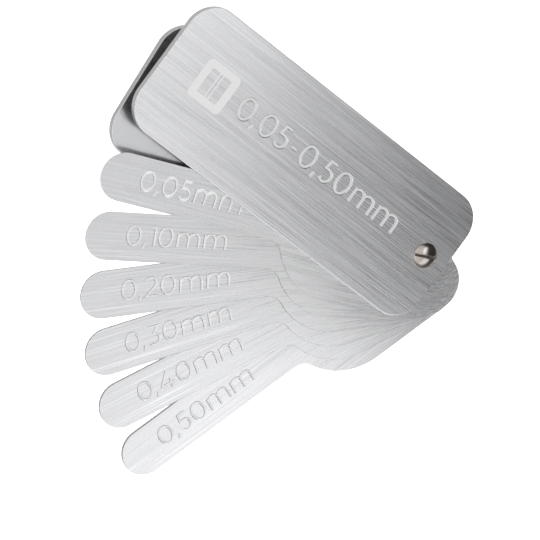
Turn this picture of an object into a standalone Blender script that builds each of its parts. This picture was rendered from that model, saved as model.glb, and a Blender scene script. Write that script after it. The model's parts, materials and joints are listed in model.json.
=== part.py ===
"""Pocket feeler gauge: two steel covers and six measuring leaves that fan out about one pivot.

The pivot's axis is Z and the gauge lies flat on its rear cover, whose back is at Z = 0.
The rear cover runs along +X from the pivot. Every plate is drawn in its own frame, with
its origin on the pivot's axis and its length along +X, and is then turned to its place.
Run it with: blender --background --python part.py
"""

import math

import bmesh
import bpy
from mathutils import Vector

MM = 0.001

# Covers
COVER_LENGTH = 60.0 * MM
COVER_WIDTH = 21.7 * MM
COVER_THICKNESS = 1.1 * MM
CORNER_RADIUS = 4.8 * MM
COVER_EDGE_ROUND = 0.12 * MM
PIVOT_TO_NEAR_END = 4.2 * MM
FRONT_COVER_ANGLE = -5.0

# Measuring leaves, from the rear cover forwards
LEAVES = (
    ("leaf_0_50mm", 0.50 * MM, 65.0),
    ("leaf_0_40mm", 0.40 * MM, 55.0),
    ("leaf_0_30mm", 0.30 * MM, 45.0),
    ("leaf_0_20mm", 0.20 * MM, 35.0),
    ("leaf_0_10mm", 0.10 * MM, 25.0),
    ("leaf_0_05mm", 0.05 * MM, 15.0),
)
LEAF_WIDTH = 21.6 * MM
TONGUE_WIDTH = 7.4 * MM
SHOULDER_CENTRE = 13.8 * MM
SHOULDER_FILLET = 2.8 * MM
STACK_GAP = 0.06 * MM

# Pivot: a closed threaded bush pressed in from the back, and a slotted screw
BUSH_RADIUS = 1.35 * MM
BUSH_BORE_RADIUS = 1.0 * MM
BUSH_END_SETBACK = 0.3 * MM
FLANGE_RADIUS = 2.3 * MM
FLANGE_THICKNESS = 0.45 * MM
PRESS_GAP = 0.02 * MM
RUNNING_GAP = 0.05 * MM
THREAD_GAP = 0.04 * MM
SCREW_HEAD_RADIUS = 2.0 * MM
SCREW_HEAD_SIDE = 0.18 * MM
SCREW_DOME_HEIGHT = 0.62 * MM
SCREW_HEAD_GAP = 0.03 * MM
SCREW_END_GAP = 0.35 * MM
SCREW_TIP_CHAMFER = 0.2 * MM
SLOT_WIDTH = 0.45 * MM
SLOT_DEPTH = 0.55 * MM
SLOT_ANGLE = 20.0

# Smoothness of round shapes
CORNER_STEPS = 12
TIP_STEPS = 28
SHOULDER_STEPS = 14
FILLET_STEPS = 8
ROUND_STEPS = 48
DOME_STEPS = 8
SMOOTH_ANGLE = math.radians(35.0)


def clear_scene():
    """Remove every object, so that the script starts from nothing."""
    for obj in list(bpy.data.objects):
        bpy.data.objects.remove(obj, do_unlink=True)


def steel(name, colour, roughness, metallic=1.0):
    """Return a Principled material of one colour."""
    material = bpy.data.materials.new(name)
    material.use_nodes = True
    shader = material.node_tree.nodes["Principled BSDF"]
    shader.inputs["Base Color"].default_value = (*colour, 1.0)
    shader.inputs["Roughness"].default_value = roughness
    shader.inputs["Metallic"].default_value = metallic
    material.diffuse_color = (*colour, 1.0)
    return material


def arc(centre_x, centre_y, radius, start, end, steps):
    """Return the points of a circular arc in the plane, with its angles in degrees."""
    points = []
    for step in range(steps + 1):
        angle = math.radians(start + (end - start) * step / steps)
        x = centre_x + radius * math.cos(angle)
        y = centre_y + radius * math.sin(angle)
        points.append((x, y))
    return points


def cover_outline():
    """Return a cover's outline, anticlockwise: a rectangle with four round corners."""
    far = COVER_LENGTH - PIVOT_TO_NEAR_END - CORNER_RADIUS
    near = CORNER_RADIUS - PIVOT_TO_NEAR_END
    side = COVER_WIDTH / 2 - CORNER_RADIUS
    points = []
    for x, y, start in ((far, side, 0), (near, side, 90), (near, -side, 180), (far, -side, 270)):
        points += arc(x, y, CORNER_RADIUS, start, start + 90, CORNER_STEPS)
    return points


def leaf_outline():
    """Return a leaf's outline, anticlockwise.

    A round-ended tongue meets the wide base through a small fillet on each side. The
    base's shoulder is an arc about a point on the leaf's centre line.
    """
    half_tongue = TONGUE_WIDTH / 2
    half_base = LEAF_WIDTH / 2
    tip_centre = COVER_LENGTH - PIVOT_TO_NEAR_END - half_tongue
    fillet_y = half_tongue + SHOULDER_FILLET
    between_centres = half_base + SHOULDER_FILLET
    fillet_x = SHOULDER_CENTRE + math.sqrt(between_centres**2 - fillet_y**2)
    tangent = math.degrees(math.asin(fillet_y / between_centres))
    corner_x = CORNER_RADIUS - PIVOT_TO_NEAR_END
    corner_y = half_base - CORNER_RADIUS

    upper = arc(tip_centre, 0.0, half_tongue, 0, 90, TIP_STEPS // 2)
    upper += arc(fillet_x, fillet_y, SHOULDER_FILLET, 270, 180 + tangent, FILLET_STEPS)
    upper += arc(SHOULDER_CENTRE, 0.0, half_base, tangent, 90, SHOULDER_STEPS)[1:]
    upper += arc(corner_x, corner_y, CORNER_RADIUS, 90, 180, CORNER_STEPS)
    lower = [(x, -y) for x, y in reversed(upper[1:])]
    return upper + lower


def new_object(name, mesh, material):
    """Add an object with this mesh and material to the scene."""
    mesh.materials.append(material)
    obj = bpy.data.objects.new(name, mesh)
    bpy.context.scene.collection.objects.link(obj)
    return obj


def plate(name, outline, thickness, material):
    """Return a flat plate whose underside is in its own XY plane."""
    shape = bmesh.new()
    face = shape.faces.new([shape.verts.new((x, y, 0.0)) for x, y in outline])
    raised = bmesh.ops.extrude_face_region(shape, geom=[face])["geom"]
    upper = [part for part in raised if isinstance(part, bmesh.types.BMVert)]
    bmesh.ops.translate(shape, verts=upper, vec=Vector((0.0, 0.0, thickness)))
    bmesh.ops.recalc_face_normals(shape, faces=shape.faces)
    mesh = bpy.data.meshes.new(name)
    shape.to_mesh(mesh)
    shape.free()
    return new_object(name, mesh, material)


def turned(name, profile, material):
    """Return a round piece made by spinning a profile of (radius, z) points about Z.

    The profile starts and ends on the axis.
    """
    shape = bmesh.new()
    points = [shape.verts.new((radius, 0.0, z)) for radius, z in profile]
    edges = [shape.edges.new(pair) for pair in zip(points, points[1:])]
    bmesh.ops.spin(
        shape,
        geom=points + edges,
        cent=(0.0, 0.0, 0.0),
        axis=(0.0, 0.0, 1.0),
        angle=2 * math.pi,
        steps=ROUND_STEPS,
        use_merge=True,
    )
    bmesh.ops.remove_doubles(shape, verts=shape.verts, dist=1e-7)
    bmesh.ops.recalc_face_normals(shape, faces=shape.faces)
    mesh = bpy.data.meshes.new(name)
    shape.to_mesh(mesh)
    shape.free()
    mesh.shade_smooth()
    mesh.set_sharp_from_angle(angle=SMOOTH_ANGLE)
    return new_object(name, mesh, material)


def round_edges(obj, width):
    """Round the rims of a plate, and leave the steps of its arcs alone."""
    modifier = obj.modifiers.new("edge_round", "BEVEL")
    modifier.width = width
    modifier.segments = 2
    modifier.limit_method = "ANGLE"
    modifier.angle_limit = math.radians(40.0)


def cut(obj, cutter):
    """Cut one shape from another, and keep the cutter out of the model."""
    cutter.hide_render = True
    cutter.display_type = "WIRE"
    cutter.parent = obj
    modifier = obj.modifiers.new(cutter.name, "BOOLEAN")
    modifier.operation = "DIFFERENCE"
    modifier.solver = "EXACT"
    modifier.object = cutter


def round_cutter(name, radius, low, high, material):
    """Return a cylinder on the pivot's axis for cutting a hole."""
    profile = [(0.0, high), (radius, high), (radius, low), (0.0, low)]
    return turned(name, profile, material)


def cut_pivot_hole(obj, thickness, material):
    """Cut the hole that turns on the bush."""
    radius = BUSH_RADIUS + RUNNING_GAP
    cut(obj, round_cutter(obj.name + "_hole", radius, -thickness, 2 * thickness, material))


def place(obj, height, angle):
    """Set a piece on the pivot's axis, at its height and turned by an angle in degrees."""
    obj.location = (0.0, 0.0, height)
    obj.rotation_euler = (0.0, 0.0, math.radians(angle))


def build_rear_cover(material):
    """The fixed cover. The bush's flange sits flush in its back."""
    cover = plate("rear_cover", cover_outline(), COVER_THICKNESS, material)
    round_edges(cover, COVER_EDGE_ROUND)
    hole = BUSH_RADIUS + PRESS_GAP
    recess = FLANGE_RADIUS + PRESS_GAP
    step = FLANGE_THICKNESS + PRESS_GAP
    above = 2 * COVER_THICKNESS
    below = -COVER_THICKNESS
    profile = [(0.0, above), (hole, above), (hole, step), (recess, step), (recess, below), (0.0, below)]
    cut(cover, turned("rear_cover_bush_seat", profile, material))
    place(cover, 0.0, 0.0)
    return cover


def build_leaves(material):
    """The six leaves, thickest at the back, each a little above the one behind it."""
    height = COVER_THICKNESS + STACK_GAP
    for name, thickness, angle in LEAVES:
        leaf = plate(name, leaf_outline(), thickness, material)
        cut_pivot_hole(leaf, thickness, material)
        place(leaf, height, angle)
        height += thickness + STACK_GAP
    return height


def build_front_cover(height, material):
    """The second cover, which turns on the bush in front of the leaves."""
    cover = plate("front_cover", cover_outline(), COVER_THICKNESS, material)
    round_edges(cover, COVER_EDGE_ROUND)
    cut_pivot_hole(cover, COVER_THICKNESS, material)
    place(cover, height, FRONT_COVER_ANGLE)
    return height + COVER_THICKNESS


def build_pivot_bush(top, material):
    """The barrel that the leaves turn on: closed and flat at the back, open at the front."""
    end = top - BUSH_END_SETBACK
    floor = FLANGE_THICKNESS
    profile = [
        (0.0, floor),
        (BUSH_BORE_RADIUS, floor),
        (BUSH_BORE_RADIUS, end),
        (BUSH_RADIUS, end),
        (BUSH_RADIUS, FLANGE_THICKNESS),
        (FLANGE_RADIUS, FLANGE_THICKNESS),
        (FLANGE_RADIUS, 0.0),
        (0.0, 0.0),
    ]
    return turned("pivot_bush", profile, material)


def build_pivot_screw(top, material):
    """The slotted screw that clamps the stack. Its own frame starts under the head."""
    crown = SCREW_HEAD_SIDE + SCREW_DOME_HEIGHT
    dome_radius = (SCREW_HEAD_RADIUS**2 + SCREW_DOME_HEIGHT**2) / (2 * SCREW_DOME_HEIGHT)
    dome_span = math.asin(SCREW_HEAD_RADIUS / dome_radius)
    profile = [(0.0, crown)]
    for step in range(1, DOME_STEPS + 1):
        angle = dome_span * step / DOME_STEPS
        radius = dome_radius * math.sin(angle)
        profile.append((radius, crown - dome_radius * (1 - math.cos(angle))))
    height = top + SCREW_HEAD_GAP
    shank = BUSH_BORE_RADIUS - THREAD_GAP
    tip = FLANGE_THICKNESS + SCREW_END_GAP - height
    profile += [
        (SCREW_HEAD_RADIUS, 0.0),
        (shank, 0.0),
        (shank, tip + SCREW_TIP_CHAMFER),
        (shank - SCREW_TIP_CHAMFER, tip),
        (0.0, tip),
    ]
    screw = turned("pivot_screw", profile, material)

    slot = plate("pivot_screw_slot", slot_outline(), SLOT_DEPTH + MM, material)
    slot.location = (0.0, 0.0, crown - SLOT_DEPTH)
    cut(screw, slot)
    place(screw, height, SLOT_ANGLE)
    return screw


def slot_outline():
    """Return the slot's rectangle, longer than the head is wide."""
    half_length = SCREW_HEAD_RADIUS + 0.5 * MM
    half_width = SLOT_WIDTH / 2
    return [
        (-half_length, -half_width),
        (half_length, -half_width),
        (half_length, half_width),
        (-half_length, half_width),
    ]


def main():
    """Build the gauge from the back to the front."""
    clear_scene()
    brushed = steel("brushed_cover_steel", (0.62, 0.62, 0.63), 0.32)
    polished = steel("polished_cover_steel", (0.60, 0.60, 0.61), 0.15)
    spring = steel("spring_steel", (0.80, 0.80, 0.81), 0.28)
    nickel = steel("nickel_plate", (0.72, 0.66, 0.60), 0.18)

    build_rear_cover(polished)
    front_height = build_leaves(spring)
    top = build_front_cover(front_height, brushed)
    build_pivot_bush(top, nickel)
    build_pivot_screw(top, nickel)


if __name__ == "__main__":
    main()
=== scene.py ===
"""Looks of a pocket feeler gauge: brushed covers, engraved leaves and a nickel pivot screw.

Each plate is drawn flat in its own frame, with the pivot's axis at the origin and its length
along +X, raised to its thickness, cut, engraved and then turned to its heading.
"""

import json
import logging
import math
from collections.abc import Callable
from dataclasses import dataclass
from enum import Enum
from typing import ClassVar

import bmesh
import bpy
from bmesh.types import BMEdge, BMFace
from mathutils import Euler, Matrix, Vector


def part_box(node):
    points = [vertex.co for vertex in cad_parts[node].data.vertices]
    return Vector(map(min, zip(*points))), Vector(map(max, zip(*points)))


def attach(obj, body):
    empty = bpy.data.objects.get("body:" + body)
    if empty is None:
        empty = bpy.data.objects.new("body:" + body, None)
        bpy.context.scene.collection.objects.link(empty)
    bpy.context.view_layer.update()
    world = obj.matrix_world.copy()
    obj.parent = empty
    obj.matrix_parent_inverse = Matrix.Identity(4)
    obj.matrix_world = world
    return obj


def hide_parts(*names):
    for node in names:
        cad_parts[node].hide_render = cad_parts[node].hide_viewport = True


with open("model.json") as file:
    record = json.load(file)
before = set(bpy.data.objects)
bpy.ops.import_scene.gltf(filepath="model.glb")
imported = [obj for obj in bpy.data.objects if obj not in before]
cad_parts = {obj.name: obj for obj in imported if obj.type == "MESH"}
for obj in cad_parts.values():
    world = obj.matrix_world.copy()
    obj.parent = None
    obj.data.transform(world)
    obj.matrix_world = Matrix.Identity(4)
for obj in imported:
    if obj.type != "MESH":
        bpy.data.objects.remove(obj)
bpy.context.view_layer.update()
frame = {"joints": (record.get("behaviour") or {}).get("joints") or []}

MM = 0.001
MERGE_DISTANCE = 0.001 * MM
PLATE_SMOOTH_ANGLE = math.radians(9.0)
TURNED_SMOOTH_ANGLE = math.radians(24.0)
ROUND_STEPS = 96
TIP_STEPS = 56
SHOULDER_STEPS = 28
CORNER_STEPS = 24
FILLET_STEPS = 16
FLATNESS = 0.999

log = logging.getLogger("feeler_gauge")

Colour = tuple[float, float, float]


class Slot(Enum):
    """The record's material slots."""

    POLISHED_COVER = "polished_cover_steel"
    BRUSHED_COVER = "brushed_cover_steel"
    SPRING = "spring_steel"
    NICKEL = "nickel_plate"


class Plane(Enum):
    """The plane that a pen draws in, by the axis that its arcs turn about."""

    FLAT = (0.0, 0.0, 1.0)
    UPRIGHT = (0.0, -1.0, 0.0)


# ---------------------------------------------------------------- workshop helpers


def pick(obj: bpy.types.Object) -> None:
    """Select one object alone and make it active."""
    bpy.ops.object.select_all(action="DESELECT")
    obj.select_set(True)
    bpy.context.view_layer.objects.active = obj


def pick_edges(obj: bpy.types.Object, test: Callable[[BMEdge], bool]) -> None:
    """Select edges in edit mode.

    Args:
        obj: The mesh object that is in edit mode.
        test: Says whether an edge is wanted.
    """
    bpy.ops.mesh.select_mode(type="EDGE")
    bpy.ops.mesh.select_all(action="DESELECT")
    shape = bmesh.from_edit_mesh(obj.data)
    for edge in shape.edges:
        edge.select_set(test(edge))
    bmesh.update_edit_mesh(obj.data)


def pick_faces(obj: bpy.types.Object, test: Callable[[BMFace], bool]) -> None:
    """Select faces in edit mode.

    Args:
        obj: The mesh object that is in edit mode.
        test: Says whether a face is wanted.
    """
    bpy.ops.mesh.select_mode(type="FACE")
    bpy.ops.mesh.select_all(action="DESELECT")
    shape = bmesh.from_edit_mesh(obj.data)
    for face in shape.faces:
        face.select_set(test(face))
    bmesh.update_edit_mesh(obj.data)


def close_up(obj: bpy.types.Object) -> None:
    """Merge the doubles of a mesh and turn its faces outwards."""
    pick(obj)
    bpy.ops.object.mode_set(mode="EDIT")
    bpy.ops.mesh.select_all(action="SELECT")
    bpy.ops.mesh.remove_doubles(threshold=MERGE_DISTANCE)
    bpy.ops.mesh.normals_make_consistent(inside=False)
    bpy.ops.object.mode_set(mode="OBJECT")


def settle(obj: bpy.types.Object, place: Vector, heading: float) -> None:
    """Turn an object about Z, move it, and write both into its mesh.

    Args:
        obj: The object, drawn at the origin.
        place: Where its own origin goes.
        heading: Its turn about Z, in degrees.
    """
    pick(obj)
    obj.location = place
    obj.rotation_euler = (0.0, 0.0, math.radians(heading))
    bpy.ops.object.transform_apply(location=True, rotation=True, scale=True)


def cut(obj: bpy.types.Object, cutter: bpy.types.Object, strokes_cross: bool = False) -> None:
    """Cut one shape from another and throw the cutter away.

    Args:
        obj: The piece that is cut. The cutter's material, if any, goes onto the cut faces.
        cutter: The closed shape to take away.
        strokes_cross: True if the cutter's own shells run through each other.
    """
    pick(obj)
    modifier = obj.modifiers.new("cut", "BOOLEAN")
    modifier.operation = "DIFFERENCE"
    modifier.solver = "EXACT"
    modifier.use_self = strokes_cross
    modifier.material_mode = "TRANSFER"
    modifier.object = cutter
    bpy.ops.object.modifier_apply(modifier=modifier.name)
    bpy.data.objects.remove(cutter, do_unlink=True)


def dress_faces(
    obj: bpy.types.Object,
    finish: bpy.types.Material,
    test: Callable[[BMFace], bool],
) -> None:
    """Give some faces of a piece a finish of their own.

    Args:
        obj: The piece.
        finish: The material, which the piece is given if it has no slot for it.
        test: Says whether a face takes the finish.
    """
    if finish.name not in obj.data.materials:
        obj.data.materials.append(finish)
    pick(obj)
    bpy.ops.object.mode_set(mode="EDIT")
    pick_faces(obj, test)
    obj.active_material_index = obj.data.materials.find(finish.name)
    bpy.ops.object.material_slot_assign()
    bpy.ops.object.mode_set(mode="OBJECT")


def cylinder_cutter(radius: float, low: float, high: float) -> bpy.types.Object:
    """Return a round cutter on the pivot's axis.

    Args:
        radius: The cutter's radius, in metres.
        low: The height of its lower end, in metres.
        high: The height of its upper end, in metres.

    Returns:
        The cutter, closed at both ends.
    """
    bpy.ops.object.select_all(action="DESELECT")
    middle = (0.0, 0.0, (low + high) / 2)
    bpy.ops.mesh.primitive_cylinder_add(
        vertices=ROUND_STEPS,
        radius=radius,
        depth=high - low,
        location=middle,
    )
    return bpy.context.object


def rest_heading(joint_name: str) -> float:
    """Return a plate's heading at rest, from the closed limit of its joint.

    Args:
        joint_name: The name of the hinge that the plate swings on.

    Returns:
        The heading about Z, in degrees.
    """
    joint = next(j for j in frame["joints"] if j["name"] == joint_name)
    return -joint["range_deg"][0] * joint["axis"][2]


class Pen:
    """Draws chains of edges in edit mode, as with a ruler and a compass."""

    def __init__(self, name: str, plane: Plane = Plane.FLAT, unit: float = MM) -> None:
        """Open an empty mesh for drawing.

        Args:
            name: The new object's name.
            plane: The plane to draw in.
            unit: Metres for each unit of the numbers that the pen is given.
        """
        bpy.ops.object.select_all(action="DESELECT")
        bpy.ops.mesh.primitive_plane_add(size=MM)
        self.piece = bpy.context.object
        self.piece.name = name
        self.plane = plane
        self.unit = unit
        self.at = Vector((0.0, 0.0))
        bpy.ops.object.mode_set(mode="EDIT")
        bpy.ops.mesh.select_mode(type="VERT")
        bpy.ops.mesh.select_all(action="SELECT")
        bpy.ops.mesh.delete(type="VERT")

    def _point(self, across: float, up: float) -> Vector:
        """Return a drawn point in space."""
        if self.plane is Plane.FLAT:
            return Vector((across, up, 0.0)) * self.unit
        return Vector((across, 0.0, up)) * self.unit

    def start(self, across: float, up: float) -> None:
        """Set the pen down for a new stroke."""
        bpy.ops.mesh.primitive_plane_add(size=MM, location=self._point(across, up))
        bpy.ops.mesh.merge(type="COLLAPSE")
        self.at = Vector((across, up))

    def line(self, across: float, up: float) -> None:
        """Draw a straight line to a point."""
        step = self._point(across, up) - self._point(*self.at)
        bpy.ops.mesh.extrude_vertices_move(TRANSFORM_OT_translate={"value": step})
        self.at = Vector((across, up))

    def arc(self, across: float, up: float, degrees: float, steps: int) -> None:
        """Draw an arc from where the pen is.

        Args:
            across: The arc's centre, across.
            up: The arc's centre, up.
            degrees: The arc's turn, anticlockwise where it is positive.
            steps: The number of straight edges that stand for the arc.
        """
        bpy.ops.mesh.spin(
            steps=steps,
            angle=-math.radians(degrees),
            center=self._point(across, up),
            axis=self.plane.value,
        )
        centre = Vector((across, up))
        spoke = self.at - centre
        turn = math.radians(degrees)
        self.at = centre + Vector(
            (
                spoke.x * math.cos(turn) - spoke.y * math.sin(turn),
                spoke.x * math.sin(turn) + spoke.y * math.cos(turn),
            )
        )

    def lift(self) -> bpy.types.Object:
        """Join chains that end where they start, and return the drawing."""
        bpy.ops.mesh.select_all(action="SELECT")
        bpy.ops.mesh.remove_doubles(threshold=MERGE_DISTANCE)
        bpy.ops.object.mode_set(mode="OBJECT")
        return self.piece

    def turn_round(self, steps: int) -> bpy.types.Object:
        """Spin the drawn profile once round Z, and return the closed piece."""
        bpy.ops.mesh.select_all(action="SELECT")
        origin = (0.0, 0.0, 0.0)
        bpy.ops.mesh.spin(steps=steps, angle=2 * math.pi, center=origin, axis=(0.0, 0.0, 1.0))
        bpy.ops.object.mode_set(mode="OBJECT")
        close_up(self.piece)
        return self.piece


# ---------------------------------------------------------------- finishes


class Bench:
    """A material's node tree, with short calls for adding and joining nodes."""

    def __init__(self, name: str) -> None:
        """Start a material that holds one Principled shader."""
        self.material = bpy.data.materials.new(name)
        self.material.use_nodes = True
        self.tree = self.material.node_tree
        self.shader = self.tree.nodes["Principled BSDF"]

    def node(self, kind: str, **settings: object) -> bpy.types.Node:
        """Add a node and set its properties."""
        made = self.tree.nodes.new(kind)
        for key, value in settings.items():
            setattr(made, key, value)
        return made

    def join(self, output: bpy.types.NodeSocket, target: bpy.types.NodeSocket) -> None:
        """Join two sockets."""
        self.tree.links.new(output, target)

    def stretched_noise(self, heading: float, cell: Vector, detail: float) -> bpy.types.NodeSocket:
        """Add noise whose cells are stretched along a heading.

        Args:
            heading: The cells' long direction about Z, in degrees.
            cell: A cell's length, width and depth, in metres.
            detail: The noise's detail.

        Returns:
            The noise's value, about 0.5 on average.
        """
        place = self.node("ShaderNodeTexCoord")
        mapping = self.node("ShaderNodeMapping", vector_type="TEXTURE")
        mapping.inputs["Rotation"].default_value = (0.0, 0.0, math.radians(heading))
        mapping.inputs["Scale"].default_value = cell
        noise = self.node("ShaderNodeTexNoise", noise_dimensions="3D")
        noise.inputs["Scale"].default_value = 1.0
        noise.inputs["Detail"].default_value = detail
        noise.inputs["Roughness"].default_value = 0.6
        self.join(place.outputs["Object"], mapping.inputs["Vector"])
        self.join(mapping.outputs["Vector"], noise.inputs["Vector"])
        return noise.outputs["Fac"]

    def ranged(
        self,
        value: bpy.types.NodeSocket,
        low: float,
        high: float,
        span: tuple[float, float] = (0.3, 0.7),
    ) -> bpy.types.NodeSocket:
        """Spread a value over a range.

        Args:
            value: The value, often noise.
            low: The result at the span's first value.
            high: The result at the span's second value.
            span: The stretch of the value that is spread.

        Returns:
            The result, held between low and high.
        """
        spread = self.node("ShaderNodeMapRange")
        spread.inputs["From Min"].default_value = span[0]
        spread.inputs["From Max"].default_value = span[1]
        spread.inputs["To Min"].default_value = low
        spread.inputs["To Max"].default_value = high
        self.join(value, spread.inputs["Value"])
        return spread.outputs["Result"]

    def along(
        self,
        heading: float,
        stretch: tuple[float, float],
        results: tuple[float, float],
    ) -> bpy.types.NodeSocket:
        """Change a value steadily along a heading.

        Args:
            heading: The direction about Z, in degrees.
            stretch: Where the change starts and ends along it, in metres.
            results: The value at the start and at the end.

        Returns:
            The value.
        """
        place = self.node("ShaderNodeTexCoord")
        way = self.node("ShaderNodeVectorMath", operation="DOT_PRODUCT")
        turned = math.radians(heading)
        way.inputs[1].default_value = (math.cos(turned), math.sin(turned), 0.0)
        self.join(place.outputs["Object"], way.inputs[0])
        return self.ranged(way.outputs["Value"], results[0], results[1], stretch)

    def summed(
        self,
        first: bpy.types.NodeSocket,
        second: bpy.types.NodeSocket,
    ) -> bpy.types.NodeSocket:
        """Add two values."""
        total = self.node("ShaderNodeMath", operation="ADD")
        self.join(first, total.inputs[0])
        self.join(second, total.inputs[1])
        return total.outputs["Value"]

    def blended(
        self,
        first: bpy.types.NodeSocket,
        second: bpy.types.NodeSocket,
        share: float,
    ) -> bpy.types.NodeSocket:
        """Mix two values, with this share of the second."""
        mix = self.node("ShaderNodeMix", data_type="FLOAT")
        mix.inputs["Factor"].default_value = share
        self.join(first, mix.inputs["A"])
        self.join(second, mix.inputs["B"])
        return mix.outputs["Result"]

    def tinted(self, value: bpy.types.NodeSocket, dark: Colour, light: Colour) -> None:
        """Colour the shader between two tints by a value from 0.3 to 0.7."""
        mix = self.node("ShaderNodeMix", data_type="RGBA")
        mix.inputs["A"].default_value = (*dark, 1.0)
        mix.inputs["B"].default_value = (*light, 1.0)
        self.join(self.ranged(value, 0.0, 1.0), mix.inputs["Factor"])
        self.join(mix.outputs["Result"], self.shader.inputs["Base Color"])

    def bumped(self, value: bpy.types.NodeSocket, height: float) -> None:
        """Raise the surface by a value, to a height in metres."""
        bump = self.node("ShaderNodeBump")
        bump.inputs["Strength"].default_value = 1.0
        bump.inputs["Distance"].default_value = height
        self.join(value, bump.inputs["Height"])
        self.join(bump.outputs["Normal"], self.shader.inputs["Normal"])

    def grain_direction(self, heading: float) -> None:
        """Point the shader's tangent along a heading that turns with the piece."""
        way = self.node("ShaderNodeCombineXYZ")
        way.inputs["X"].default_value = math.cos(math.radians(heading))
        way.inputs["Y"].default_value = math.sin(math.radians(heading))
        turn = self.node("ShaderNodeVectorTransform", vector_type="VECTOR")
        turn.convert_from = "OBJECT"
        turn.convert_to = "WORLD"
        self.join(way.outputs["Vector"], turn.inputs["Vector"])
        self.join(turn.outputs["Vector"], self.shader.inputs["Tangent"])

    def roughened(self, value: bpy.types.NodeSocket, smooth: float, rough: float) -> None:
        """Spread the shader's roughness over a range by a value from 0.3 to 0.7."""
        self.join(self.ranged(value, smooth, rough), self.shader.inputs["Roughness"])

    def set(self, **values: float) -> None:
        """Set the shader's own sockets; an underscore in a key stands for a space."""
        for key, value in values.items():
            self.shader.inputs[key.replace("_", " ")].default_value = value


@dataclass(frozen=True)
class PaintedLightFade:
    """Painted light and shade: a steady change of tone across a stretch of a plate.

    The stretch runs from start to end in millimetres, along the plate's length turned by
    this many degrees. The tone is raised by first at its start and by last at its end,
    where 0.4 is the whole way from the dark tint to the light one.
    """

    turn: float
    start: float
    end: float
    first: float
    last: float


@dataclass(frozen=True)
class BrushedSteel:
    """Steel brushed in straight strokes along a plate's length, with light and shade painted on by its
    fades.
    """

    name: str
    heading: float
    dark: Colour = (0.65, 0.653, 0.67)
    light: Colour = (0.85, 0.853, 0.867)
    smooth: float = 0.24
    rough: float = 0.34
    anisotropy: float = 0.55
    stroke_length: float = 15.0 * MM
    stroke_width: float = 0.14 * MM
    stroke_depth: float = 0.0014 * MM
    band_share: float = 0.25
    scratch_tone: float = 0.22
    bright_span: tuple[float, float] = (0.66, 0.72)
    dark_span: tuple[float, float] = (0.28, 0.34)
    # painted light and shade, laid over the brushed tone
    painted_light_fades: tuple[PaintedLightFade, ...] = ()

    def material(self) -> bpy.types.Material:
        """Return the finish as a material."""
        bench = Bench(self.name)
        fine = Vector((self.stroke_length, self.stroke_width, MM))
        broad = Vector((4 * self.stroke_length, 7 * self.stroke_width, MM))
        single = Vector((1.2 * self.stroke_length, 1.7 * self.stroke_width, MM))
        strokes = bench.stretched_noise(self.heading, fine, 2.0)
        bands = bench.stretched_noise(self.heading, broad, 2.0)
        lines = bench.stretched_noise(self.heading, single, 0.0)
        bright_lines = bench.ranged(lines, 0.0, self.scratch_tone, self.bright_span)
        dark_lines = bench.ranged(lines, -self.scratch_tone, 0.0, self.dark_span)
        scratches = bench.summed(bright_lines, dark_lines)
        tone = bench.summed(bench.blended(strokes, bands, self.band_share), scratches)
        # Painted light and shade: each fade raises or lowers the tone steadily along the plate.
        for fade in self.painted_light_fades:
            stretch = (fade.start * MM, fade.end * MM)
            shift = bench.along(self.heading + fade.turn, stretch, (fade.first, fade.last))
            tone = bench.summed(tone, shift)
        bench.tinted(tone, self.dark, self.light)
        bench.roughened(strokes, self.smooth, self.rough)
        bench.bumped(bench.summed(strokes, scratches), self.stroke_depth)
        bench.grain_direction(self.heading)
        bench.set(Metallic=1.0, Anisotropic=self.anisotropy)
        return bench.material


@dataclass(frozen=True)
class ShadedCutEdge:
    """The sheared and deburred rim of a plate, duller than its faces and darkened with painted shade.
    """

    name: str
    dark: Colour
    light: Colour
    smooth: float = 0.30
    rough: float = 0.42
    nick: tuple[float, float, float] = (0.35, 0.35, 0.12)
    nick_depth: float = 0.004 * MM

    def material(self) -> bpy.types.Material:
        """Return the finish as a material."""
        bench = Bench(self.name)
        nicks = bench.stretched_noise(0.0, Vector(self.nick) * MM, 3.0)
        bench.tinted(nicks, self.dark, self.light)
        bench.roughened(nicks, self.smooth, self.rough)
        bench.bumped(nicks, self.nick_depth)
        bench.set(Metallic=1.0)
        return bench.material


@dataclass(frozen=True)
class PolishedSteel:
    """Steel rolled bright, with faint long ripples."""

    name: str
    heading: float
    dark: Colour = (0.56, 0.563, 0.572)
    light: Colour = (0.64, 0.642, 0.65)
    smooth: float = 0.19
    rough: float = 0.26
    ripple: tuple[float, float, float] = (9.0, 3.0, 3.0)
    ripple_height: float = 0.04 * MM
    scuff: tuple[float, float, float] = (4.0, 0.12, 1.0)

    def material(self) -> bpy.types.Material:
        """Return the finish as a material."""
        bench = Bench(self.name)
        ripples = bench.stretched_noise(self.heading, Vector(self.ripple) * MM, 1.0)
        scuffs = bench.stretched_noise(self.heading, Vector(self.scuff) * MM, 3.0)
        bench.tinted(scuffs, self.dark, self.light)
        bench.roughened(scuffs, self.smooth, self.rough)
        bench.bumped(ripples, self.ripple_height)
        bench.set(Metallic=1.0)
        return bench.material


@dataclass(frozen=True)
class EtchedSteel:
    """The pale frosted floor of an engraved stroke."""

    name: str
    dark: Colour = (0.90, 0.902, 0.905)
    light: Colour = (1.0, 1.0, 1.0)
    smooth: float = 0.5
    rough: float = 0.62
    metallic: float = 0.75
    grain: float = 0.06 * MM
    grain_height: float = 0.003 * MM

    def material(self) -> bpy.types.Material:
        """Return the finish as a material."""
        bench = Bench(self.name)
        frost = bench.stretched_noise(0.0, Vector((self.grain,) * 3), 3.0)
        bench.tinted(frost, self.dark, self.light)
        bench.roughened(frost, self.smooth, self.rough)
        bench.bumped(frost, self.grain_height)
        bench.set(Metallic=self.metallic)
        return bench.material


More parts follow.
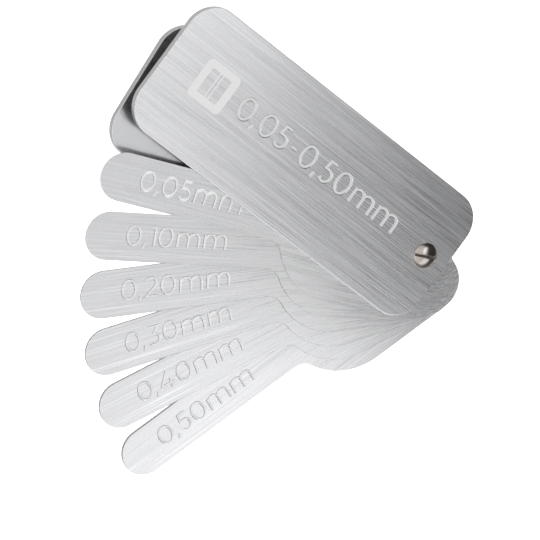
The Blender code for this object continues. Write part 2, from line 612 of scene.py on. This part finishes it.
@dataclass(frozen=True)
class NickelPlate:
    """Bright nickel with a warm tint and faint turning marks."""

    name: str
    dark: Colour = (0.36, 0.328, 0.295)
    light: Colour = (0.49, 0.455, 0.425)
    smooth: float = 0.15
    rough: float = 0.26
    stain: float = 0.8 * MM
    turning_marks: float = 1.6 / MM
    turning_wander: float = 0.6
    turning_depth: float = 0.002 * MM

    def material(self) -> bpy.types.Material:
        """Return the finish as a material."""
        bench = Bench(self.name)
        place = bench.node("ShaderNodeTexCoord")
        rings = bench.node("ShaderNodeTexWave", wave_type="RINGS", rings_direction="Z")
        rings.inputs["Scale"].default_value = self.turning_marks
        rings.inputs["Distortion"].default_value = self.turning_wander
        bench.join(place.outputs["Object"], rings.inputs["Vector"])
        stains = bench.stretched_noise(0.0, Vector((self.stain,) * 3), 3.0)
        bench.tinted(stains, self.dark, self.light)
        bench.roughened(stains, self.smooth, self.rough)
        bench.bumped(rings.outputs["Fac"], self.turning_depth)
        bench.set(Metallic=1.0)
        return bench.material


# ---------------------------------------------------------------- lettering


@dataclass
class Engraver:
    """Cuts numbers and letters in single strokes with a flat-ended tool.

    Every mark is drawn in units of which a digit is TALL high, and scaled to digit_height.
    The baseline is Y = 0, the text reads towards +X and the plate's surface is at Z = 0.
    """

    digit_height: float
    floor_width: float
    rim_width: float
    depth: float
    tracking: float = 0.0

    TALL: ClassVar[float] = 2.84
    GAP: ClassVar[float] = 0.72
    EXTRA_GAPS: ClassVar[dict[str, float]] = {",": -0.12, "m": 0.2}

    def _oval(self, pen: Pen, x: float) -> float:
        """Draw a nought from four compass arcs, and return its width."""
        half_width, half_height, end_radius = 1.05, self.TALL / 2, 0.85
        rise = half_height - end_radius
        side_radius = (half_width**2 + rise**2 - end_radius**2) / (2 * (half_width - end_radius))
        reach = side_radius - half_width
        lean = math.degrees(math.atan2(rise, reach))
        middle = x + half_width
        turn = math.radians(lean)
        pen.start(
            middle - reach + side_radius * math.cos(turn),
            half_height - side_radius * math.sin(turn),
        )
        pen.arc(middle - reach, half_height, 2 * lean, 8)
        pen.arc(middle, half_height + rise, 180 - 2 * lean, 10)
        pen.arc(middle + reach, half_height, 2 * lean, 8)
        pen.arc(middle, half_height - rise, 180 - 2 * lean, 10)
        return 2 * half_width

    def _one(self, pen: Pen, x: float) -> float:
        """Draw a one with a flat flag, and return its width."""
        pen.start(x, self.TALL)
        pen.line(x + 0.72, self.TALL)
        pen.line(x + 0.72, 0.0)
        return 0.72

    def _two(self, pen: Pen, x: float) -> float:
        """Draw a two, and return its width."""
        radius = 0.84
        high = self.TALL - radius
        first = math.radians(152.0)
        pen.start(x + 0.86 + radius * math.cos(first), high + radius * math.sin(first))
        pen.arc(x + 0.86, high, -187.0, 14)
        pen.line(x + 0.06, 0.0)
        pen.line(x + 1.82, 0.0)
        return 1.82

    def _three(self, pen: Pen, x: float) -> float:
        """Draw a three with a flat top, and return its width."""
        radius = 0.86
        pen.start(x + 0.12, self.TALL)
        pen.line(x + 1.6, self.TALL)
        pen.line(x + 0.78, 2 * radius)
        pen.arc(x + 0.78, radius, -238.0, 18)
        return 1.7

    def _four(self, pen: Pen, x: float) -> float:
        """Draw an open four, and return its width."""
        pen.start(x + 1.38, self.TALL)
        pen.line(x + 0.05, 0.74)
        pen.line(x + 2.2, 0.74)
        pen.start(x + 1.62, 1.6)
        pen.line(x + 1.62, 0.0)
        return 2.2

    def _five(self, pen: Pen, x: float) -> float:
        """Draw a five, and return its width."""
        radius = 0.86
        pen.start(x + 1.56, self.TALL)
        pen.line(x + 0.36, self.TALL)
        pen.line(x + 0.22, 2 * radius)
        pen.line(x + 0.78, 2 * radius)
        pen.arc(x + 0.78, radius, -236.0, 18)
        return 1.7

    def _comma(self, pen: Pen, x: float) -> float:
        """Draw a comma, and return its width."""
        pen.start(x + 0.24, 0.33)
        pen.line(x - 0.02, -0.5)
        return 0.25

    def _em(self, pen: Pen, x: float) -> float:
        """Draw a small m with two round arches, and return its width."""
        height = 2.16
        pen.start(x, height)
        pen.line(x, 0.0)
        left = x
        for radius in (0.85, 0.865):
            middle = left + radius
            pen.start(left, height - radius)
            pen.arc(middle, height - radius, -180.0, 14)
            left += 2 * radius
            pen.line(left, 0.0)
        return left - x

    def _dash(self, pen: Pen, x: float) -> float:
        """Draw a dash, and return its width."""
        pen.start(x, 1.15)
        pen.line(x + 1.05, 1.15)
        return 1.05

    def _profile(self) -> bpy.types.Object:
        """Return the tool's cross-section as a closed curve."""
        slope = (self.rim_width - self.floor_width) / 2 / self.depth
        half_floor = self.floor_width / 2
        half_top = half_floor + 2 * self.depth * slope
        pen = Pen("tool_profile", unit=1.0)
        pen.start(-half_floor, -self.depth)
        pen.line(half_floor, -self.depth)
        pen.line(half_top, self.depth)
        pen.line(-half_top, self.depth)
        pen.line(-half_floor, -self.depth)
        profile = pen.lift()
        pick(profile)
        bpy.ops.object.convert(target="CURVE")
        return profile

    def cutter(self, text: str, finish: bpy.types.Material) -> bpy.types.Object:
        """Draw a text and give its strokes the tool's cross-section.

        Args:
            text: The numbers and letters to draw.
            finish: The material that the cut faces take.

        Returns:
            The closed strokes, with the text's lower left corner at the origin.
        """
        draw = {
            "0": self._oval,
            "1": self._one,
            "2": self._two,
            "3": self._three,
            "4": self._four,
            "5": self._five,
            ",": self._comma,
            "-": self._dash,
            "m": self._em,
        }
        pen = Pen("lettering", unit=self.digit_height / self.TALL)
        x = 0.0
        for place, mark in enumerate(text):
            if place:
                x += self.GAP + self.tracking + self.EXTRA_GAPS.get(mark, 0.0)
            x += draw[mark](pen, x)
        strokes = pen.lift()
        profile = self._profile()
        pick(strokes)
        bpy.ops.object.convert(target="CURVE")
        strokes.data.dimensions = "2D"
        strokes.data.bevel_mode = "OBJECT"
        strokes.data.bevel_object = profile
        strokes.data.use_fill_caps = True
        bpy.ops.object.convert(target="MESH")
        bpy.data.objects.remove(profile, do_unlink=True)
        close_up(strokes)
        strokes.data.materials.clear()
        strokes.data.materials.append(finish)
        return strokes


# ---------------------------------------------------------------- plates


@dataclass
class Plate:
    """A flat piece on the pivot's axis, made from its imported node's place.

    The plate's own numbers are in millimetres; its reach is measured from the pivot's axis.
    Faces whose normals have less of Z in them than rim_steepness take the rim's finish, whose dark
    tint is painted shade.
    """

    node: str
    body: str
    heading: float
    near_end: float = 4.2
    corner_radius: float = 4.8
    edge_round: float = 0.03
    rim_steepness: float = 0.97
    # painted shade: the rims' dark tints, scaled by the plate's rim shade tone
    rim_shade_tints: tuple[float, float] = (0.19, 0.33)
    rim_shade_tone: float = 1.0
    hole_radius: float = 1.40
    slot: Slot = Slot.SPRING

    def __post_init__(self) -> None:
        """Take the plate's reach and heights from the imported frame."""
        low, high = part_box(self.node)
        self.low = low.z
        self.high = high.z
        self.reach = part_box("rear_cover")[1].x / MM
        self.piece: bpy.types.Object | None = None

    @property
    def thickness(self) -> float:
        """The plate's thickness in metres."""
        return self.high - self.low

    def outline(self) -> bpy.types.Object:
        """Draw the plate's outline."""
        raise NotImplementedError

    def raise_up(self, name: str, finish: bpy.types.Material) -> None:
        """Fill the outline, raise it to its thickness, round its rims and cut its hole.

        Args:
            name: The piece's name.
            finish: The finish of its faces.
        """
        self.piece = self.outline()
        self.piece.name = name
        self.piece.data.materials.append(finish)
        pick(self.piece)
        bpy.ops.object.mode_set(mode="EDIT")
        bpy.ops.mesh.select_all(action="SELECT")
        bpy.ops.mesh.edge_face_add()
        lift = {"value": (0.0, 0.0, self.thickness)}
        bpy.ops.mesh.extrude_region_move(TRANSFORM_OT_translate=lift)
        bpy.ops.mesh.select_all(action="SELECT")
        bpy.ops.mesh.normals_make_consistent(inside=False)
        pick_edges(self.piece, lambda e: abs(e.verts[0].co.z - e.verts[1].co.z) < MERGE_DISTANCE)
        bpy.ops.mesh.bevel(
            offset=self.edge_round * MM,
            segments=3,
            affect="EDGES",
            clamp_overlap=False,
        )
        bpy.ops.object.mode_set(mode="OBJECT")
        self.cut_hole()

    def cut_hole(self) -> None:
        """Cut the hole that turns on the bush."""
        cut(self.piece, cylinder_cutter(self.hole_radius * MM, -MM, self.thickness + MM))

    def engrave(
        self,
        strokes: bpy.types.Object,
        etched: bpy.types.Material,
        strokes_cross: bool,
    ) -> None:
        """Cut strokes whose floors are etched and whose walls take the plate's own finish.

        Args:
            strokes: The cutter, which carries the etched finish.
            etched: The finish of the strokes' floors.
            strokes_cross: True if the cutter's own shells run through each other.
        """
        cut(self.piece, strokes, strokes_cross)
        slot = self.piece.data.materials.find(etched.name)
        own = self.piece.data.materials[0]
        dress_faces(
            self.piece,
            own,
            lambda f: f.material_index == slot and abs(f.normal.z) < FLATNESS,
        )

    def dress_rim(self) -> None:
        """Give the outer rim and the hole's wall the finish of a cut edge, darkened with painted
        shade.
        """
        dark, light = ((tint * self.rim_shade_tone,) * 3 for tint in self.rim_shade_tints)
        edge = ShadedCutEdge(self.node + "_edge", dark, light).material()
        dress_faces(self.piece, edge, lambda f: abs(f.normal.z) < self.rim_steepness)

    def finish_up(self) -> None:
        """Shade the plate, turn it to its heading and hang it on its body."""
        pick(self.piece)
        bpy.ops.object.shade_smooth_by_angle(angle=PLATE_SMOOTH_ANGLE)
        settle(self.piece, Vector((0.0, 0.0, self.low)), self.heading)
        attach(self.piece, self.body)
        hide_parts(self.node)
        log.info("%s: %d faces", self.piece.name, len(self.piece.data.polygons))


@dataclass
class Leaf(Plate):
    """A measuring leaf: a round-ended tongue on a wide base, marked with its thickness."""

    # painted shade: the leaves' rims darker still than the covers'
    rim_shade_tone: float = 0.62
    mark: str = ""
    base_width: float = 21.6
    tongue_width: float = 7.4
    shoulder_centre: float = 13.8
    shoulder_fillet: float = 2.8
    mark_start: float = 6.66
    mark_baseline: float = 1.18
    mark_depth: float = 0.04
    # the stretch of painted light and shade that ends at the leaf's tip
    tip_painted_light_length: float = 32.0

    def outline(self) -> bpy.types.Object:
        """Draw the leaf anticlockwise, from the underside of its tip."""
        half_tongue = self.tongue_width / 2
        half_base = self.base_width / 2
        tip = self.reach - half_tongue
        fillet = self.shoulder_fillet
        fillet_y = half_tongue + fillet
        fillet_x = self.shoulder_centre + math.sqrt((half_base + fillet) ** 2 - fillet_y**2)
        bend = 90.0 - math.degrees(math.asin(fillet_y / (half_base + fillet)))
        corner_x = self.corner_radius - self.near_end
        corner_y = half_base - self.corner_radius
        pen = Pen(self.node + "_outline")
        pen.start(tip, -half_tongue)
        pen.arc(tip, 0.0, 180.0, TIP_STEPS)
        pen.line(fillet_x, half_tongue)
        pen.arc(fillet_x, fillet_y, -bend, FILLET_STEPS)
        pen.arc(self.shoulder_centre, 0.0, bend, SHOULDER_STEPS)
        pen.line(corner_x, half_base)
        pen.arc(corner_x, corner_y, 90.0, CORNER_STEPS)
        pen.line(-self.near_end, -corner_y)
        pen.arc(corner_x, -corner_y, 90.0, CORNER_STEPS)
        pen.line(self.shoulder_centre, -half_base)
        pen.arc(self.shoulder_centre, 0.0, bend, SHOULDER_STEPS)
        pen.arc(fillet_x, -fillet_y, -bend, FILLET_STEPS)
        pen.line(tip, -half_tongue)
        return pen.lift()

    def build(self) -> None:
        """Build, engrave and dress the leaf."""
        self.edge_round = min(self.edge_round, 0.2 * self.thickness / MM)
        steel = BrushedSteel(
            self.node + "_steel",
            self.heading,
            dark=(0.68, 0.683, 0.698),
            light=(0.89, 0.893, 0.905),
            # Painted light and shade: the tongue lighter back from the tip and darker at the tip
            # itself, and painted shade on the base, darkest at its near end by the pivot.
            painted_light_fades=(
                PaintedLightFade(0.0, self.reach - self.tip_painted_light_length, self.reach, 0.16, -0.2),
                PaintedLightFade(0.0, -11.0, 17.0, -0.5, 0.0),
            ),
        )
        etched = EtchedSteel(self.node + "_etched").material()
        self.raise_up(self.node + "_blade", steel.material())
        self.dress_rim()
        depth = min(self.mark_depth * MM, 0.4 * self.thickness)
        tool = Engraver(
            digit_height=2.87 * MM,
            floor_width=0.2 * MM,
            rim_width=0.38 * MM,
            depth=depth,
        )
        strokes = tool.cutter(self.mark, etched)
        start_x = (self.reach - self.mark_start) * MM
        settle(strokes, Vector((start_x, self.mark_baseline * MM, self.thickness)), 180.0)
        self.engrave(strokes, etched, strokes_cross=True)
        self.finish_up()


@dataclass
class Cover(Plate):
    """A stiff outer plate: a rectangle with four round corners."""

    width: float = 21.7
    edge_round: float = 0.14
    rim_steepness: float = 0.6

    def outline(self) -> bpy.types.Object:
        """Draw the cover anticlockwise, from the lower end of its far side."""
        radius = self.corner_radius
        far = self.reach - radius
        near = radius - self.near_end
        side = self.width / 2 - radius
        pen = Pen(self.node + "_outline")
        pen.start(self.reach, -side)
        for x, y, next_point in (
            (far, side, (self.reach, side)),
            (near, side, (near, self.width / 2)),
            (near, -side, (-self.near_end, -side)),
            (far, -side, (far, -self.width / 2)),
        ):
            pen.line(*next_point)
            pen.arc(x, y, 90.0, CORNER_STEPS)
        return pen.lift()


@dataclass
class RearCover(Cover):
    """The cover that the gauge lies on, bright inside, with the bush set in its back."""

    slot: Slot = Slot.POLISHED_COVER
    flange_radius: float = 2.32
    flange_depth: float = 0.47

    def cut_hole(self) -> None:
        """Cut the bush's hole and the recess for its flange."""
        cut(self.piece, cylinder_cutter(self.hole_radius * MM, -MM, self.thickness + MM))
        cut(self.piece, cylinder_cutter(self.flange_radius * MM, -MM, self.flange_depth * MM))

    def build(self) -> None:
        """Build and dress the rear cover."""
        brushed = BrushedSteel("rear_cover_brushed", self.heading)
        self.raise_up("rear_cover_plate", brushed.material())
        self.dress_rim()
        bright = PolishedSteel("rear_cover_bright", self.heading).material()
        inner_height = 0.9 * self.thickness
        dress_faces(
            self.piece,
            bright,
            lambda f: f.normal.z > FLATNESS and f.calc_center_median().z > inner_height,
        )
        self.finish_up()


@dataclass
class FrontCover(Cover):
    """The cover in front of the leaves, marked with the gauge's range."""

    slot: Slot = Slot.BRUSHED_COVER
    text: str = "0,05-0,50mm"
    text_start: float = 14.9
    baseline: float = 0.62
    emblem_centre: tuple[float, float] = (46.3, -0.7)
    emblem_side: float = 6.6
    emblem_corner: float = 0.9
    emblem_depth: float = 0.08
    emblem_bars: tuple[tuple[float, float], ...] = ((-0.36, 0.42), (0.0, 0.1), (0.36, 0.42))
    emblem_bar_height: float = 1.25

    def emblem(self, finish: bpy.types.Material) -> bpy.types.Object:
        """Return the cutter of a square badge with a blade standing between two blocks.

        The places, widths and height of the bars are shares of half the badge's side.

        Args:
            finish: The material that the cut faces take.

        Returns:
            The badge, in its place on the plate's surface.
        """
        depth = self.emblem_depth * MM
        half = self.emblem_side / 2
        x, y = self.emblem_centre
        bpy.ops.object.select_all(action="DESELECT")
        bpy.ops.mesh.primitive_cube_add(size=1.0, location=(x * MM, y * MM, self.thickness))
        badge = bpy.context.object
        badge.scale = (self.emblem_side * MM, self.emblem_side * MM, 2 * depth)
        bpy.ops.object.transform_apply(location=True, rotation=True, scale=True)
        bpy.ops.object.mode_set(mode="EDIT")
        pick_edges(badge, lambda e: abs(e.verts[0].co.z - e.verts[1].co.z) > depth)
        bpy.ops.mesh.bevel(offset=self.emblem_corner * MM, segments=8, affect="EDGES")
        bpy.ops.object.mode_set(mode="OBJECT")
        for offset, bar_width in self.emblem_bars:
            bar_x = (x + offset * half) * MM
            bpy.ops.object.select_all(action="DESELECT")
            bpy.ops.mesh.primitive_cube_add(size=1.0, location=(bar_x, y * MM, self.thickness))
            bar = bpy.context.object
            bar.scale = (bar_width * half * MM, self.emblem_bar_height * half * MM, 3 * depth)
            bpy.ops.object.transform_apply(location=True, rotation=True, scale=True)
            cut(badge, bar)
        badge.data.materials.clear()
        badge.data.materials.append(finish)
        return badge

    def build(self) -> None:
        """Build, engrave and dress the front cover."""
        # Painted light and shade: darker towards the pivot end and lighter at the far end, and darker
        # along the long side away from the leaves.
        painted_light_fades = (PaintedLightFade(0.0, -8.0, 56.0, -0.12, 0.04), PaintedLightFade(90.0, -11.0, 11.0, -0.10, 0.02))
        brushed = BrushedSteel("front_cover_brushed", self.heading, painted_light_fades=painted_light_fades)
        self.raise_up("front_cover_plate", brushed.material())
        self.dress_rim()
        etched = EtchedSteel("front_cover_etched").material()
        tool = Engraver(
            digit_height=3.3 * MM,
            floor_width=0.42 * MM,
            rim_width=0.62 * MM,
            depth=0.07 * MM,
            tracking=0.12,
        )
        softer = EtchedSteel(
            "front_cover_lettering",
            dark=(0.80, 0.802, 0.806),
            light=(0.90, 0.902, 0.906),
        )
        lettering = softer.material()
        strokes = tool.cutter(self.text, lettering)
        start_x = (self.reach - self.text_start) * MM
        settle(strokes, Vector((start_x, self.baseline * MM, self.thickness)), 180.0)
        self.engrave(strokes, lettering, strokes_cross=True)
        self.engrave(self.emblem(etched), etched, strokes_cross=False)
        self.finish_up()


# ---------------------------------------------------------------- pivot


@dataclass
class PivotScrew:
    """The slotted screw that clamps the stack, in millimetres and degrees."""

    head_height: float = 0.80
    head_side: float = 0.18
    rim_round: float = 0.05
    shank_radius: float = 0.96
    tip_chamfer: float = 0.2
    slot_width: float = 0.45
    slot_depth: float = 0.55
    slot_heading: float = 20.0
    burr_round: float = 0.03
    burr_angle: float = 32.0

    def build(self) -> None:
        """Turn the screw, cut its slot and dress it."""
        low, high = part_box("pivot_screw")
        head_radius = high.x / MM
        crown = high.z / MM
        tip = low.z / MM
        under = crown - self.head_height
        rise = self.head_height - self.head_side
        dome_radius = (head_radius**2 + rise**2) / (2 * rise)
        span = math.degrees(math.asin(head_radius / dome_radius))
        pen = Pen("pivot_screw_turned", Plane.UPRIGHT)
        pen.start(0.0, crown)
        pen.arc(0.0, crown - dome_radius, -span, 18)
        pen.line(head_radius, under + self.rim_round)
        pen.arc(head_radius - self.rim_round, under + self.rim_round, -90.0, 4)
        pen.line(self.shank_radius, under)
        pen.line(self.shank_radius, tip + self.tip_chamfer)
        pen.line(self.shank_radius - self.tip_chamfer, tip)
        pen.line(0.0, tip)
        screw = pen.turn_round(ROUND_STEPS)
        screw.data.materials.append(NickelPlate("pivot_screw_nickel").material())
        length = 2 * head_radius + 1.0
        middle = (0.0, 0.0, (crown + 0.5 - self.slot_depth) * MM)
        bpy.ops.object.select_all(action="DESELECT")
        bpy.ops.mesh.primitive_cube_add(size=1.0, location=middle)
        slot = bpy.context.object
        slot.scale = (length * MM, self.slot_width * MM, MM)
        slot.rotation_euler = (0.0, 0.0, math.radians(self.slot_heading))
        bpy.ops.object.transform_apply(location=True, rotation=True, scale=True)
        cut(screw, slot)
        edge = screw.modifiers.new("edge", "BEVEL")
        edge.width = self.burr_round * MM
        edge.segments = 2
        edge.limit_method = "ANGLE"
        edge.angle_limit = math.radians(self.burr_angle)
        pick(screw)
        bpy.ops.object.modifier_apply(modifier=edge.name)
        bpy.ops.object.shade_smooth_by_angle(angle=TURNED_SMOOTH_ANGLE)
        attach(screw, "screw_body")
        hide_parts("pivot_screw")
        log.info("%s: %d faces", screw.name, len(screw.data.polygons))


@dataclass
class PivotBush:
    """The threaded barrel that the leaves turn on, pressed in from the back, in millimetres."""

    barrel_radius: float = 1.35
    bore_radius: float = 1.0
    flange_thickness: float = 0.45
    chamfer: float = 0.05

    def build(self) -> None:
        """Turn the bush and dress it."""
        low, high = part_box("pivot_bush")
        flange_radius = high.x / MM
        back = low.z / MM
        end = high.z / MM
        step = back + self.flange_thickness
        pen = Pen("pivot_bush_turned", Plane.UPRIGHT)
        pen.start(0.0, step)
        pen.line(self.bore_radius, step)
        pen.line(self.bore_radius, end - self.chamfer)
        pen.line(self.bore_radius + self.chamfer, end)
        pen.line(self.barrel_radius - self.chamfer, end)
        pen.line(self.barrel_radius, end - self.chamfer)
        pen.line(self.barrel_radius, step)
        pen.line(flange_radius, step)
        pen.line(flange_radius, back + self.chamfer)
        pen.line(flange_radius - self.chamfer, back)
        pen.line(0.0, back)
        bush = pen.turn_round(ROUND_STEPS)
        pick(bush)
        bpy.ops.object.shade_smooth_by_angle(angle=TURNED_SMOOTH_ANGLE)
        bush.data.materials.append(NickelPlate("pivot_bush_nickel").material())
        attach(bush, "rear_body")
        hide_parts("pivot_bush")
        log.info("%s: %d faces", bush.name, len(bush.data.polygons))


# ---------------------------------------------------------------- studio


@dataclass
class SoftLight:
    """A rectangular soft light over the gauge, placed and sized in millimetres."""

    name: str
    place: tuple[float, float, float]
    size: tuple[float, float]
    radiance: float

    def hang(self) -> None:
        """Hang the light, facing straight down and out of the camera's sight."""
        bpy.ops.object.light_add(type="AREA", location=Vector(self.place) * MM)
        lamp = bpy.context.object
        lamp.name = self.name
        lamp.data.shape = "RECTANGLE"
        lamp.data.size = self.size[0] * MM
        lamp.data.size_y = self.size[1] * MM
        lamp.data.energy = self.radiance * math.pi * lamp.data.size * lamp.data.size_y
        lamp.visible_camera = False


@dataclass
class Studio:
    """A plain white floor, soft light and the camera, in millimetres and degrees.

    Each of the sky's stops holds how far a direction points the dark way, from 0 to 1, and
    the sky's level there.
    """

    camera_place: tuple[float, float, float] = (319.65, -1.334, 521.364)
    camera_turn: tuple[float, float, float] = (-18.0809, -24.325, -144.5572)
    lens: float = 266.05
    floor_white: float = 0.9
    floor_glow: float = 0.95
    floor_drop: float = 0.02
    dark_way: tuple[float, float, float] = (-0.5, -0.3, 0.8)
    sky_stops: tuple[tuple[float, float], ...] = ((0.0, 0.50), (0.25, 0.38), (0.5, 0.16), (0.72, 0.05))

    def floor(self) -> None:
        """Lay the white floor, which glows a little so that it stays white in shade."""
        bpy.ops.object.select_all(action="DESELECT")
        bpy.ops.mesh.primitive_plane_add(size=8.0, location=(0.0, 0.0, -self.floor_drop * MM))
        sheet = bpy.context.object
        sheet.name = "floor"
        bench = Bench("floor_white")
        bench.set(Roughness=0.9)
        bench.shader.inputs["Base Color"].default_value = (*(self.floor_white,) * 3, 1.0)
        bench.shader.inputs["Emission Color"].default_value = (1.0, 1.0, 1.0, 1.0)
        bench.shader.inputs["Emission Strength"].default_value = self.floor_glow
        sheet.data.materials.append(bench.material)

    def sky(self) -> None:
        """Surround the gauge with white that falls off to dark overhead and on one side."""
        world = bpy.data.worlds.new("studio_surround")
        bpy.context.scene.world = world
        world.use_nodes = True
        nodes = world.node_tree.nodes
        links = world.node_tree.links
        place = nodes.new("ShaderNodeTexCoord")
        toward = nodes.new("ShaderNodeVectorMath")
        toward.operation = "DOT_PRODUCT"
        toward.inputs[1].default_value = Vector(self.dark_way).normalized()
        ramp = nodes.new("ShaderNodeValToRGB")
        ramp.color_ramp.interpolation = "EASE"
        while len(ramp.color_ramp.elements) < len(self.sky_stops):
            ramp.color_ramp.elements.new(0.5)
        for element, (position, level) in zip(ramp.color_ramp.elements, self.sky_stops):
            element.position = position
            element.color = (level, level, level, 1.0)
        links.new(place.outputs["Generated"], toward.inputs[0])
        links.new(toward.outputs["Value"], ramp.inputs["Fac"])
        links.new(ramp.outputs["Color"], nodes["Background"].inputs["Color"])

    def lights(self) -> None:
        """Hang the soft lights."""
        SoftLight("leaf_light", (-170.0, 133.0, 200.0), (180.0, 214.0), 1.58).hang()
        SoftLight("overhead_light", (60.0, 45.0, 201.0), (280.0, 390.0), 0.96).hang()
        SoftLight("far_end_strip", (-20.0, -85.0, 199.0), (40.0, 130.0), 1.5).hang()

    def camera(self) -> None:
        """Set the camera."""
        bpy.ops.object.camera_add(location=Vector(self.camera_place) * MM)
        eye = bpy.context.object
        eye.rotation_euler = Euler([math.radians(turn) for turn in self.camera_turn])
        eye.data.lens = self.lens
        eye.data.sensor_width = 36.0
        eye.data.clip_start = 0.01
        bpy.context.scene.camera = eye

    def set_up(self) -> None:
        """Set up the whole studio."""
        self.floor()
        self.sky()
        self.lights()
        self.camera()
        bpy.context.scene.view_settings.view_transform = "Standard"


# ---------------------------------------------------------------- the gauge


def main() -> None:
    """Set up the studio, then build the gauge from its back to its screw."""
    logging.basicConfig(level=logging.INFO, format="%(name)s: %(message)s")
    bpy.ops.object.select_all(action="DESELECT")
    Studio().set_up()
    RearCover("rear_cover", "rear_body", 0.0, hole_radius=1.37).build()
    for digits in ("50", "40", "30", "20", "10", "05"):
        node = f"leaf_0_{digits}mm"
        Leaf(node, node + "_body", rest_heading(node + "_swing"), mark=f"0,{digits}mm").build()
    FrontCover("front_cover", "front_body", rest_heading("front_cover_swing")).build()
    PivotBush().build()
    PivotScrew().build()


if __name__ == "__main__":
    main()
